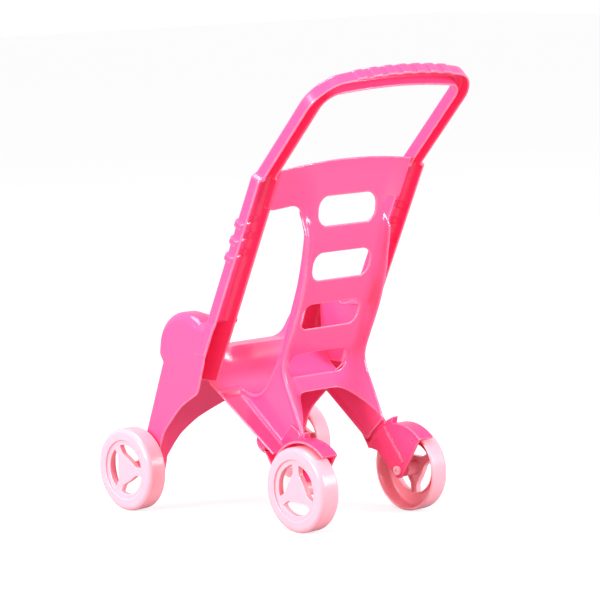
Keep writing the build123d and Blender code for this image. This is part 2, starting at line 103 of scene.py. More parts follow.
def meet(a, b, r=0.0):
    """The intersection of two forms, its outer edge rounded to radius r."""
    u = np.maximum(a + r, 0)
    v = np.maximum(b + r, 0)
    return np.minimum(np.maximum(a, b), -r) + np.sqrt(u * u + v * v)


def join(a, b, r=0.0):
    """The union of two forms, its inner corner filled to radius r."""
    u = np.maximum(r - a, 0)
    v = np.maximum(r - b, 0)
    return np.maximum(np.minimum(a, b), r) - np.sqrt(u * u + v * v)


def cut(a, b, r=0.0):
    """The form a without b."""
    return meet(a, -b, r)


def outline(u, v, points):
    """The signed distance to a closed outline."""
    nearest = np.full(np.broadcast(u, v).shape, 1e12)
    inside = np.zeros(nearest.shape, bool)
    for (au, av), (bu, bv) in zip(points, points[1:] + points[:1]):
        eu, ev = bu - au, bv - av
        wu, wv = u - au, v - av
        along = np.clip((wu * eu + wv * ev) / (eu * eu + ev * ev), 0, 1)
        nearest = np.minimum(nearest, (wu - eu * along) ** 2 + (wv - ev * along) ** 2)
        inside ^= ((av <= v) != (bv <= v)) & ((wu * ev - wv * eu) * (1 if ev > 0 else -1) < 0)
    away = np.sqrt(nearest)
    return np.where(inside, -away, away)


def chart(points, soft=3):
    """A quick form of outline: it looks the distance up on a fine grid, on which corners are softened."""
    grid, around = 0.5, 45.0
    low = [min(p[n] for p in points) - around for n in (0, 1)]
    high = [max(p[n] for p in points) + around for n in (0, 1)]
    us, vs = (np.arange(low[n], high[n], grid) for n in (0, 1))
    table = outline(us[:, None], vs[None, :], points)
    for axis in (0, 1):
        padded = np.concatenate([table.take([0] * soft, axis), table, table.take([-1] * soft, axis)], axis)
        total = sum(padded.take(range(n, n + table.shape[axis]), axis) for n in range(2 * soft + 1))
        table = total / (2 * soft + 1)

    def look(u, v):
        a = np.clip((u - low[0]) / grid, 0, len(us) - 1.001)
        b = np.clip((v - low[1]) / grid, 0, len(vs) - 1.001)
        i, j = a.astype(int), b.astype(int)
        a, b = a - i, b - j
        near = table[i, j] * (1 - a) + table[i + 1, j] * a
        far = table[i, j + 1] * (1 - a) + table[i + 1, j + 1] * a
        return near * (1 - b) + far * b

    return look


def arc(centre, radius, start, end, count=10):
    """Points of a round stretch, between two angles in degrees."""
    turns = [math.radians(start + (end - start) * n / count) for n in range(count + 1)]
    return [(centre[0] + radius * math.cos(t), centre[1] + radius * math.sin(t)) for t in turns]


def smooth(points, count=8):
    """Points of a smooth curve through the given ones."""
    made = []
    for n in range(len(points) - 1):
        p = [np.array(points[max(0, min(len(points) - 1, n + k))], float) for k in (-1, 0, 1, 2)]
        for m in range(count):
            t = m / count
            spot = 2 * p[1] + (p[2] - p[0]) * t + (2 * p[0] - 5 * p[1] + 4 * p[2] - p[3]) * t ** 2
            spot = spot + (3 * p[1] - p[0] - 3 * p[2] + p[3]) * t ** 3
            made.append(tuple(float(c) for c in spot / 2))
    return made + [tuple(float(c) for c in points[-1])]


def ease(v, low, high):
    """0 below low, 1 above high, and smooth between them."""
    t = np.clip((v - low) / (high - low), 0, 1)
    return t * t * (3 - 2 * t)


def rod(y, z, centre_y, centre_z, radius):
    """A round bar along x."""
    return np.sqrt((y - centre_y) ** 2 + (z - centre_z) ** 2) - radius


# ---------------------------------------------------------------- the mesher
moulding_step, wheel_step, bracket_step, quick_step = 1.2, 0.9, 0.8, 1.6    # sizes of the grids' cells
margin = 3.0                  # the grids reach this far past the pieces


def corner_values(value, cells):
    """The eight corner values of each cell, and the corners' places."""
    offsets = [(i, j, k) for i in (0, 1) for j in (0, 1) for k in (0, 1)]
    found = np.stack([value[cells[0] + i, cells[1] + j, cells[2] + k] for i, j, k in offsets], 1)
    return found, np.array(offsets, float)


def sample(field, xs, ys, zs, step):
    """The field on a grid. Blocks too far from the surface get their middle's value."""
    value = np.empty((len(xs), len(ys), len(zs)), np.float32)
    block = 20
    reach = 0.5 * math.sqrt(3) * step * (block + 1) * 1.25
    for i in range(0, len(xs), block):
        for j in range(0, len(ys), block):
            for k in range(0, len(zs), block):
                x = xs[i:i + block][:, None, None]
                y = ys[j:j + block][None, :, None]
                z = zs[k:k + block][None, None, :]
                middle = [np.array([[[float(v.mean())]]]) for v in (x, y, z)]
                at_middle = float(field(*middle).reshape(-1)[0])
                if abs(at_middle) > reach:
                    value[i:i + block, j:j + block, k:k + block] = at_middle
                else:
                    value[i:i + block, j:j + block, k:k + block] = field(x, y, z)
    return value


def settle(field, spots, step, middle):
    """Moves the vertices onto the surface. Returns them and the surface's normals."""
    small = 0.04
    corners = np.array([(1, 1, 1), (1, -1, -1), (-1, 1, -1), (-1, -1, 1)], float)

    def probe(p):
        """The field at a spot and its slope there, from four spots round it."""
        found = [field(*(p + small * corner).T) for corner in corners]
        slope = sum(f[:, None] * corner for f, corner in zip(found, corners)) / (4 * small)
        return sum(found) / 4, slope

    for _ in range(3):
        here, grade = probe(spots)
        size = np.maximum((grade ** 2).sum(1), 0.3)
        move = -grade * (here / size)[:, None]
        long = np.sqrt((move ** 2).sum(1))
        move *= np.minimum(1, 0.4 * step / np.maximum(long, 1e-9))[:, None]
        spots = spots + move
        spots[middle, 0] = 0
    grade = probe(spots)[1]
    grade[middle, 0] = 0
    return spots, grade / np.maximum(np.sqrt((grade ** 2).sum(1)), 1e-9)[:, None]


def surface(field, low, high, step, mirrored=False):
    """Vertices, normals and quads of the field's surface between two corners, in millimetres."""
    xs = (np.arange(int((high[0] - low[0]) / step) + 3) - 0.5) * step + low[0]
    ys = low[1] + np.arange(int((high[1] - low[1]) / step) + 2) * step
    zs = low[2] + np.arange(int((high[2] - low[2]) / step) + 2) * step

    def used(x, y, z):
        return field(np.abs(x) if mirrored else x, y, z)

    value = sample(used, xs, ys, zs, step)
    solid = value < 0
    rows, columns, layers = (count - 1 for count in solid.shape)
    filled = sum(solid[i:rows + i, j:columns + j, k:layers + k].astype(np.uint8)
                 for i in (0, 1) for j in (0, 1) for k in (0, 1))
    active = (filled > 0) & (filled < 8)
    cells = np.nonzero(active)
    number = np.full(active.shape, -1, np.int32)
    number[cells] = np.arange(len(cells[0]))
    found, offsets = corner_values(value, cells)
    total = np.zeros((len(found), 3))
    crossings = np.zeros(len(found))
    for a in range(8):
        for b in range(a + 1, 8):
            if abs(offsets[a] - offsets[b]).sum() != 1:
                continue
            crossed = (found[:, a] < 0) != (found[:, b] < 0)
            share = np.where(crossed, found[:, a] / np.where(crossed, found[:, a] - found[:, b], 1), 0)
            total += np.where(crossed[:, None], offsets[a] + share[:, None] * (offsets[b] - offsets[a]), 0)
            crossings += crossed
    inner = total / crossings[:, None]
    spots = np.stack([xs[0] + (cells[0] + inner[:, 0]) * step,
                      ys[0] + (cells[1] + inner[:, 1]) * step,
                      zs[0] + (cells[2] + inner[:, 2]) * step], 1)
    middle = cells[0] == 0 if mirrored else np.zeros(len(spots), bool)
    spots[middle, 0] = 0
    spots, normals = settle(used, spots, step, middle)
    quads = faces_of(solid, number)
    if mirrored:
        twin = np.arange(len(spots)) + len(spots)
        twin[middle] = np.nonzero(middle)[0]
        other = twin[quads][:, ::-1]
        spots = np.concatenate([spots, spots * [-1, 1, 1]])
        normals = np.concatenate([normals, normals * [-1, 1, 1]])
        quads = np.concatenate([quads, other])
        kept = np.zeros(len(spots), bool)
        kept[quads.reshape(-1)] = True
        renumber = np.cumsum(kept) - 1
        spots, normals, quads = spots[kept], normals[kept], renumber[quads]
    return spots, normals, quads


def faces_of(solid, number):
    """One quad for each grid edge that crosses the surface, turned to face outwards."""
    quads = []
    for axis in range(3):
        ahead = [slice(1, -1)] * 3
        behind = [slice(1, -1)] * 3
        ahead[axis] = slice(1, None)
        behind[axis] = slice(None, -1)
        first = solid[tuple(behind)]
        second = solid[tuple(ahead)]
        edges = np.nonzero(first != second)
        leaving = first[edges]
        place = [edges[n] + (0 if n == axis else 1) for n in range(3)]
        side_a, side_b = [n for n in range(3) if n != axis]
        ring = []
        for da, db in ((-1, -1), (0, -1), (0, 0), (-1, 0)):
            cell = [place[n] for n in range(3)]
            cell[side_a] = cell[side_a] + da
            cell[side_b] = cell[side_b] + db
            ring.append(number[tuple(cell)])
        ring = np.stack(ring, 1)
        if axis == 1:
            leaving = ~leaving
        ring[~leaving] = ring[~leaving][:, ::-1]
        quads.append(ring)
    return np.concatenate(quads)


def mesh_object(name, spots, normals, quads):
    """A smooth-shaded mesh object from arrays in millimetres."""
    mesh = bpy.data.meshes.new(name)
    mesh.vertices.add(len(spots))
    mesh.vertices.foreach_set("co", (spots * MM).astype(np.float32).reshape(-1))
    mesh.loops.add(quads.size)
    mesh.loops.foreach_set("vertex_index", quads.astype(np.int32).reshape(-1))
    mesh.polygons.add(len(quads))
    mesh.polygons.foreach_set("loop_start", np.arange(0, quads.size, 4, dtype=np.int32))
    mesh.polygons.foreach_set("loop_total", np.full(len(quads), 4, np.int32))
    mesh.update(calc_edges=True)
    mesh.validate()
    mesh.shade_smooth()
    mesh.normals_split_custom_set_from_vertices(normals.astype(np.float32))
    made = bpy.data.objects.new(name, mesh)
    bpy.context.scene.collection.objects.link(made)
    return made


# ---------------------------------------------------------------- the front frame
knee_z = 172.0                # where a leg's rear rim bends forwards to the foot
lobe_start_z = 229.0          # where a lobe leaves the front of its leg
thigh_top_z = 262.0           # the lower part's outlines reach this far up the legs
foot_low_z = 30.5
foot_rear_y = -129.0
foot_open_y, foot_open_z = -141.0, 42.0    # the foot's channel is open below behind this place
beyond, far_off = 30.0, -400.0             # places clear of the object
taper_top, taper_low = 185.0, 85.0         # the outer plates draw in between these heights
leg_low_z = 192.0             # a leg's own form ends here, inside its lobe
leg_core_low_z = 186.0
thigh_core_top_z = 250.0
inner_wall_low_z = 156.0      # a leg's inner wall reaches down to here
cap_slope = 0.48              # the leg's top faces forwards
lobe_round = 4.5              # rounding of the lower part's front edges
lobe_swell = 6.0              # how much rounder the lobes are
lobe_swell_z = (170, 198)     # the rounding grows between these heights
core_shrink = 0.8             # how much of a leg rib's height shows inside
grip_shrink = 0.7             # how much of a grip rib's height shows inside

rib_z = 324.0                 # height of the middle rib of each leg
rib_rise = 18.9               # from one leg rib to the next, in height
rib_slant = 0.16
rib_high = 1.9
rib_widths = (3.0, 5.6)       # half widths of a rib's top and of its foot
rib_fade_rim = (1.5, 7.0)     # a rib sinks to nothing this close to the leg's rim
rib_fade_inner = (leg_in + 2.0, leg_in + 7.0)
rib_count = 3
grip_rib_pitch = 21.0
grip_rib_high = 1.5
grip_rib_widths = (4.6, 8.2)
grip_rib_start = (120, 128)   # along the handle
grip_rib_count = 7
rib_room = 0.5                # the grip's top stands this low, for its ribs
grip_inner_crown = 0.8        # the grip's inner edge drops less than its outer one
handle_foot = 6.0             # the handle's form reaches this far below the shoulder

boss_radius = 8.0             # round each axle
boss_in, boss_out = 102.0, 116.1
bore_radius = 3.06


def leg_rim(z):
    """y of a front leg's open rear rim at height z."""
    return shoulder_y - (shoulder_z - z) * math.tan(leg_lean)


lobe_start = (leg_rim(lobe_start_z) - leg_depth, lobe_start_z)
lobe_front_y = lobe_y - lobe_radius
below_knee = smooth([(-111, 76), (-106, 87), (-97, 98), (-75, 118.5), (-66, 126), (-55, 133), (-42, 140),
                     (-33, 147), (leg_rim(knee_z), knee_z)], 3)
side_line = (
    [(60, lobe_start_z), lobe_start]
    + arc((lobe_y, lobe_z), lobe_radius, 50, 182, 24)
    + smooth([(lobe_front_y, lobe_z - 2), (lobe_front_y + 1.2, lobe_z - 8), (-91.4, 176)], 4)
    + smooth([(-157, 52), (-154, 38), (-143, foot_low_z), (-128, foot_low_z)], 5)
    + [(60, foot_low_z)]
)
rear_line = [
    (shoulder_y + beyond * math.tan(leg_lean), shoulder_z + beyond),
    (far_off, shoulder_z + beyond),
    (far_off, -beyond),
    (foot_rear_y, -beyond),
    (foot_rear_y, foot_low_z),
] + below_knee
flank = smooth([(44, valley_z), (55, 190.5), (63, 199), (69, 214), (75, 226), (84, 233), (leg_in, 236)], 5)
foot_line = [(foot_out, 20), (95, 20), (91, 28), (84, foot_low_z), (77, 34.5), (72, 39.5), (foot_inner, 46)]
arch_line = smooth([(67.5, 55), (63.6, 67), (59, 77.5), (54, 84), (42, 95), (29, 102), (15.6, 108),
                    (0, arch_z), (-15.6, 108)], 3)
front_line = (
    [(leg_out, thigh_top_z), (leg_out, taper_top), (foot_out, taper_low)]
    + foot_line
    + arch_line
    + [(-beyond, valley_z)]
    + flank
    + [(leg_in, thigh_top_z)]
)
core_line = (
    [(leg_out + 8, thigh_top_z), (leg_out + 8, 0), (-beyond, 0), (-beyond, valley_z)]
    + flank
    + [(leg_in, thigh_top_z)]
)
side_chart, rear_chart, front_chart, core_chart = (
    chart(line) for line in (side_line, rear_line, front_line, core_line))


def leg_ribs(x, y, z):
    """How far the three low ribs across each leg stand out at a spot."""
    along = (z - rib_z) * math.cos(leg_lean) + (y - leg_rim(rib_z) + leg_depth) * math.sin(leg_lean)
    along = along - rib_slant * (leg_out - x)
    pitch = rib_rise / math.cos(leg_lean)
    place = np.abs(along - pitch * np.round(along / pitch))
    inside = np.abs(along) < rib_count / 2 * pitch
    high = 1 - ease(place, *rib_widths)
    before_rim = ease(leg_rim(z) - y, *rib_fade_rim)
    return np.where(inside, rib_high * high * before_rim, 0.0) * ease(x, *rib_fade_inner)


def grip_ribs(x, s):
    """How far the seven low ribs across the grip stand out."""
    place = np.abs(x - grip_rib_pitch * np.round(x / grip_rib_pitch))
    high = 1 - ease(place, *grip_rib_widths)
    inside = x < grip_rib_count / 2 * grip_rib_pitch
    return np.where(inside, grip_rib_high * high, 0.0) * ease(s, *grip_rib_start)


def handle_fields(x, y, z):
    """The handle loop's outer form and its core."""
    # s runs up the handle from the shoulder, and d from its open rear face to its front
    s = (y - shoulder_y) * math.sin(handle_lean) + (z - shoulder_z) * math.cos(handle_lean)
    d = (z - shoulder_z) * math.sin(handle_lean) - (y - shoulder_y) * math.cos(handle_lean)
    drop = handle_crown * (x / handle_half) ** 2
    tilt = np.sqrt(1 + (2 * handle_crown * x / handle_half ** 2) ** 2)
    ribs = grip_ribs(x, s)
    outer_top = (s - handle_top + rib_room + drop) / tilt
    inner_top = (s - (handle_top - bar_band) + drop * grip_inner_crown) / tilt
    outer = meet(x - handle_half, outer_top, loop_corner)
    inner = meet(x - (handle_half - arm_band), inner_top, loop_inner_corner)
    form = meet(np.maximum(outer - ribs, -inner), d - handle_depth, 3.4)
    form = np.maximum(meet(form, -d, rim), -handle_foot - s)
    cored = np.maximum(outer - grip_shrink * ribs, -inner) + wall
    core = meet(np.maximum(cored, 1 - handle_foot - s), d - (handle_depth - wall), 3.0)
    return form, core


def front_field(x, y, z):
    """The whole front moulding: outer form, less its core, with bosses for the axles."""
    ahead = (leg_rim(z) - leg_depth - y) * math.cos(leg_lean)
    cap = (z - shoulder_z + cap_slope * (y - shoulder_y)) / math.hypot(1, cap_slope)
    ribs = leg_ribs(x, y, z)
    leg = meet(np.maximum(slab(x, leg_in, leg_out), leg_low_z - z) - ribs, ahead - ribs, 4.0)
    leg = meet(leg, cap, 3.5)
    side = side_chart(y, z)
    swell = lobe_round + lobe_swell * ease(z, *lobe_swell_z)
    low = meet(front_chart(x, z), side, swell)
    low = np.maximum(low, np.minimum(y - apron_back, leg_in - x))
    solid = meet(join(leg, low, 5.0), rear_chart(y, z), rim)
    handle, handle_core = handle_fields(x, y, z)
    form = join(solid, handle, 4.0)

    leg_core = np.maximum(slab(x, leg_in + wall, leg_out - wall), leg_core_low_z - z)
    leg_core = meet(leg_core - core_shrink * ribs, ahead + wall - core_shrink * ribs, 6.0)
    leg_core = meet(leg_core, cap + wall, 3.0)
    wide = np.maximum(np.maximum(x - leg_out + wall, plate_inside(x, z)), z - thigh_core_top_z)
    low_core = meet(np.maximum(core_chart(x, z) + wall, wide), side + wall, swell + 0.5)
    inner_wall = np.maximum(np.maximum(slab(x, leg_in, leg_in + wall), apron_back - y), inner_wall_low_z - z)
    core = np.maximum(join(leg_core, low_core, 4.0), -inner_wall)
    core = np.minimum(core, np.maximum(np.maximum(foot_open_y - y, z - foot_open_z), plate_inside(x, z)))
    core = join(core, handle_core, 2.5)
    body = cut(form, core, rim)

    pin_y, pin_z = front_axle.y - shift, front_axle.z - lift
    boss = np.maximum(rod(y, z, pin_y, pin_z, boss_radius), slab(x, boss_in, boss_out))
    body = join(body, boss, 1.5)
    return cut(body, rod(y, z, pin_y, pin_z, bore_radius), 0.4)


def plate_inside(x, z):
    """The inside of the outer plate, which draws in on its way to the foot."""
    share = np.clip((taper_top - z) / (taper_top - taper_low), 0, 1)
    return x - leg_out + wall + (leg_out - foot_out) * share


# ---------------------------------------------------------------- the rear shell
wing_roll = 3.4               # radius of the wings' rolled ends
wing_middle = 1.55            # the rolled ends stand this far off the legs' inner walls
wing_stand = 1.6              # the wings stand this far behind the legs' rims
wing_end = 10.0               # how far the rolled ends reach into the legs
wing_bend = 0.957             # how much of the way to the legs' rims the sheet bends
bend_x, bend_z = (40, 99), (324, 356)    # it bends between these places
bend_thin = 0.4               # makes up for the slant of the bent sheet
wing_root_z, wing_edge_z = 346.0, 355.0    # the wing's lower edge at the panel and at the leg
wing_top_z = 420.0            # above the panel's own top
curl_depth = 4.6              # how far the panel's edges curl back into the side walls
curl_band = 16.0
curl_low, curl_high = (165, 200), (318, 352)    # it starts and ends between these heights
panel_low_z, panel_front_y = 188.6, -10.0
seat_front_y = -26.0
side_gap = 0.3                # between the seat and the legs' inner walls
skirt_lip_y, skirt_lip_z = 26.0, 159.0
skirt_slope = 0.62
skirt_thin = 1.45             # the skirt's slope makes it thinner than its size along y
skirt_top_z = 326.0
skirt_middle_x = 24.0         # from here to the corner the skirt turns from the lip into a leg
skirt_sink = 1.0              # the skirt reaches this far into the sheet
flange_reach = 90.0
flange_draw = 6.0             # how much narrower the flange is at its toe
flange_start = -14.0
slot_front_y = -15.0          # the lowest slot ends before the seat's front
slot_corner = 0.85            # a slot's corner radius, as a share of half its height

sheet = smooth([(-61.5, 186.5), (-57.2, 169), (-45.6, 152.7), (-28, 143.2), (-6.5, 138.2), (9, 142.5),
                (23.5, 157), (40, 186), (51.8, 215.5), (62.8, 244), (73.6, 271.7), (82, 303), (88, 333.3),
                (92.4, 366.7), (95.0, 390), (96.4, 416)], 6)
upright = [p for p in sheet if p[0] > 0]
corner_curve = smooth([(86.0, 352), (90.2, 338), (91.9, 321), (88.4, 296.5), (85.4, 276), (74.7, 242),
                       (64.5, 219), (54.8, 199), (48.3, 184), (46.5, 172.5), (50, 159), (56.7, 145),
                       (66.5, 124), (75.6, 103.5)], 5)
leg_toe = (49.5, 80.0)
leg_top = (-19.0, 131.0)
sheet_edge = [p for p in sheet if p[0] > -34 and p[1] < 352]
web_chart = chart(corner_curve + [leg_toe, leg_top, (-34, 143)] + sheet_edge)
sheet_chart = chart(sheet + [(99, 470), (far_off, 470), (far_off, 230), (-66, 215)])
arch_chart = chart(
    [(-30, 330), (-30, 141)]
    + smooth([(-8, 141.6), (8, 141.6), (24, 141.2), (33, 139), (41, 132.5), (52, 119), (63, 103.0)], 4)
    + [(66, 100), (70, 330)]
)
wing_chart = chart(
    [(shell_half - 14, wing_top_z), (shell_half - 14, wing_root_z), (shell_half - 0.8, wing_root_z)]
    + smooth([(shell_half - 0.3, 347), (shell_half + 0.6, 350), (64.4, 354), (67.5, 356.9), (72, 358.2),
              (78, 357.4), (86, 355.9), (leg_in, wing_edge_z), (leg_in + 2.5, 355.8), (leg_in + 5, 358.6),
              (leg_in + 6.4, 363)], 5)
    + [(leg_in + 6.4, wing_top_z)],
    2,
)


def curve_y(z, points):
    """y of a climbing curve at height z."""
    points = sorted(points, key=lambda p: p[1])
    return np.interp(z, [p[1] for p in points], [p[0] for p in points])


def shell_field(x, y, z):
    """The whole rear moulding."""
    # the panel and seat are one sheet, which curls back into its side walls; above the highest
    # slot its ends bend forwards as wings, to cross behind the front legs' inner walls
    curl = curl_depth * ease(x, shell_half - curl_band, shell_half)
    curl = curl * ease(z, *curl_low) * (1 - ease(z, *curl_high))
    rim_line = leg_rim(z) + wing_stand
    bend = ease(x, *bend_x) * ease(z, *bend_z)
    moved = wing_bend * bend * (rim_line - curve_y(z, upright))
    behind = sheet_chart(y, z) - curl - moved
    # the wings' ends roll forwards over the legs' inner walls
    over, back = x - (leg_in + wall + wing_middle - wing_roll), behind + wing_roll
    rolled = np.hypot(np.maximum(over, 0), np.maximum(back, 0)) + np.minimum(np.maximum(over, back), 0)
    rolled = rolled - wing_roll
    sheet_form = np.abs(rolled) * (1 - bend_thin * bend * (1 - bend)) - wall / 2
    sheet_form = meet(sheet_form, -behind - wing_end, rim)
    panel = meet(sheet_form, np.minimum(z - panel_low_z, panel_front_y - y), rim)
    narrow = np.minimum(x - shell_half, wing_chart(x, z))
    front_corner = np.maximum(x - (leg_in - side_gap), y - seat_front_y)
    panel = meet(panel, np.minimum(narrow, front_corner), rim)

    web = meet(slab(x, shell_half - wall, shell_half), web_chart(y - moved, z), rim)
    shell = join(panel, web, 4.5)

    # the skirt: the rear walls of both rear legs, and the lip over the arch between them
    lip_y = skirt_lip_y + (skirt_lip_z - z) * skirt_slope
    share = ease(x, skirt_middle_x, shell_half - 1)
    skirt_y = lip_y + (curve_y(z, corner_curve) - lip_y) * share
    skirt = np.abs(y - skirt_y + wall / 2) / skirt_thin - wall / 2
    bounds = np.maximum(np.maximum(arch_chart(x, z), z - skirt_top_z), x - shell_half)
    skirt = np.maximum(meet(skirt, bounds, rim), -behind - skirt_sink)
    shell = join(shell, skirt, 3.0)

    # the flange along the front of each rear leg
    run_y, run_z = leg_toe[0] - leg_top[0], leg_toe[1] - leg_top[1]
    run = math.hypot(run_y, run_z)
    along = ((y - leg_top[0]) * run_y + (z - leg_top[1]) * run_z) / run
    across = ((z - leg_top[1]) * run_y - (y - leg_top[0]) * run_z) / run
    reach = flange_reach - flange_draw * np.clip(along / run, 0, 1)
    flange = np.maximum(slab(across, 0, wall), slab(along, flange_start, run))
    flange = meet(flange, np.maximum(x - reach, shell_half - wall - x), rim)
    shell = join(shell, flange, 6.0)

    top = z - (panel_top_z - panel_drop * (x / leg_in) ** 2)
    shell = meet(shell, top, rim)
    for low, high in slots:
        shell = cut(shell, np.maximum(slot_form(x, z, low, high), slot_front_y - y), rim)
    return shell


def slot_form(x, z, low, high):
    """One rounded slot, seen from the front."""
    half = (high - low) / 2
    corner = slot_corner * half
    u = np.maximum(x - slot_half + corner, 0)
    v = np.maximum(np.abs(z - (low + high) / 2) - half + corner, 0)
    flat = np.maximum(x - slot_half, np.abs(z - (low + high) / 2) - half)
    return np.where((u > 0) & (v > 0), np.sqrt(u * u + v * v) - corner, flat)


# ---------------------------------------------------------------- brackets and wheels
wheel_width = wheel_box[1].x - wheel_box[0].x
wheel_radius = (wheel_box[1].z - wheel_box[0].z) / 2
fender_low, fender_high = 51.0, 53.5    # radii
fender_width = 22.0
fender_rear, fender_front = 48.0, 157.0    # angles of the fender's ends
plate_thick = 3.0
eye_radius = 9.0              # the plate's rounding below the axle
front_plate_reach = 24.0
tab_reach = 9.0
ridge_high, ridge_sunk = 1.2, 1.0
plate_in = shell_half + 0.3
boss_end = wheel_box[0].x - 0.4
eyelet_y, eyelet_z, eyelet_radius = 23.8, 36.5, 1.3    # from the axle


def round_axle(radius, angle):
    """A point at a radius and an angle from the rear axle, in the side view."""
    return axle_y + radius * math.cos(math.radians(angle)), axle_z + radius * math.sin(math.radians(angle))


def round_fender(*places):
    """Points given by their gap outside the fender and their angle."""
    return [round_axle(fender_high + gap, angle) for gap, angle in places]


eye_line = (
    arc((axle_y, axle_z), fender_high, fender_rear, fender_front, 24)
    + round_fender((-13.9, 152))
    + arc((axle_y, axle_z), eye_radius, 228, 342, 10)
)
plug_line = round_fender((-2.6, 141.8), (3.1, 140.4), (17.2, 141.0), (21.7, 119.5), (11.0, 112.8),
                         (-7.1, 106.3))
front_plate_line = round_fender((22.6, 146.5), (0, 157), (0.4, 153.4), (18.7, 147.3))
tab_line = round_fender((-0.5, 111), (4.8, 108), (7.9, 96.5), (-3, 101.4))
ridge_line = round_fender((0.2, 116.6), (0.3, 113)) + [round_axle(14.5, 46.4), round_axle(11, 50.5)]


def bracket_field(x, y, z):
    """The left bracket: side plate, fender, front plate, snap tab, ridge and axle boss."""
    away_y, away_z = y - axle_y, z - axle_z
    r = np.sqrt(away_y ** 2 + away_z ** 2)
    ends = [math.radians(angle) for angle in (fender_rear, fender_front)]
    rear_end, front_end = (away_z * math.cos(t) - away_y * math.sin(t) for t in ends)
    sector = np.maximum(-rear_end, front_end)
    shade = np.maximum(slab(r, fender_low, fender_high), sector)
    fender = meet(shade, slab(x, plate_in, plate_in + fender_width), 0.8)
    plate = slab(x, plate_in, plate_in + plate_thick)
    body = join(meet(plate, outline(y, z, eye_line), 0.9), fender, 1.6)
    body = join(body, meet(plate, outline(y, z, plug_line), 0.9), 1.0)
    front_plate = slab(x, plate_in, shell_half + front_plate_reach)
    body = join(body, meet(front_plate, outline(y, z, front_plate_line), 0.7), 1.2)
    tab = slab(x, plate_in, plate_in + tab_reach)
    body = join(body, meet(tab, outline(y, z, tab_line), 0.9), 1.0)
    ridge = slab(x, plate_in - ridge_high, plate_in + ridge_sunk)
    body = join(body, meet(ridge, outline(y, z, ridge_line), 0.5), 0.6)
    body = join(body, meet(r - boss_radius, slab(x, plate_in, boss_end), 0.6), 1.5)
    eyelet = np.sqrt((away_y - eyelet_y) ** 2 + (away_z - eyelet_z) ** 2) - eyelet_radius
    return cut(cut(body, r - bore_radius, 0.4), eyelet, 0.3)


tread_round, inner_round = 5.5, 2.5
tread_inside = 44.5           # radius of the rim's hollow inner side
tread_depth = 18.5
face_radius = 34.0            # the outer face is set in as far as this radius
face_depth = 2.5
window_radius = 28.5
window_wall = 1.4             # the rolled collar round each window
spoke_half = 5.0
hub_corner = 1.3
hub_bulge, hub_centre = 94.2, 80.0    # each side of the hub is a shallow arc of this radius
disc_in, disc_out = 14.5, 20.0
hub_in = 0.4                  # the hub's inner end stands this far inside the wheel's face
wheel_bore, wheel_bore_end = 3.02, 15.5


def wheel_field(x, y, z):
    """One wheel about its own axis, its inner face at x = 0."""
    r = np.sqrt(y * y + z * z)
    form = meet(meet(r - wheel_radius, x - wheel_width, tread_round), -x, inner_round)
    body = cut(form, meet(r - face_radius, wheel_width - face_depth - x, 0.8), 1.2)
    body = cut(body, meet(r - tread_inside, x - tread_depth, 3.0), 1.0)
    # three windows, each between the hub, the disc's rim and two spokes
    turn = np.arctan2(z, y) + math.radians(90)
    third = math.radians(120)
    turn = turn - third * np.round(turn / third)
    out, along = r * np.cos(turn), np.abs(r * np.sin(turn))
    spoke = spoke_half + math.cos(third / 2) * along - math.sin(third / 2) * out
    hub_side = hub_bulge - np.sqrt((out + hub_centre) ** 2 + along ** 2)
    window = meet(meet(r - window_radius, hub_side, hub_corner), spoke, hub_corner)
    collar = meet(window - window_wall, slab(x, disc_in, disc_out), 0.4)
    body = join(body, np.maximum(r - boss_radius, slab(x, hub_in, disc_out)), 1.5)
    body = join(body, collar, 0.5)
    body = cut(body, window, 0.7)
    return cut(body, np.maximum(r - wheel_bore, x - wheel_bore_end), 0.3)


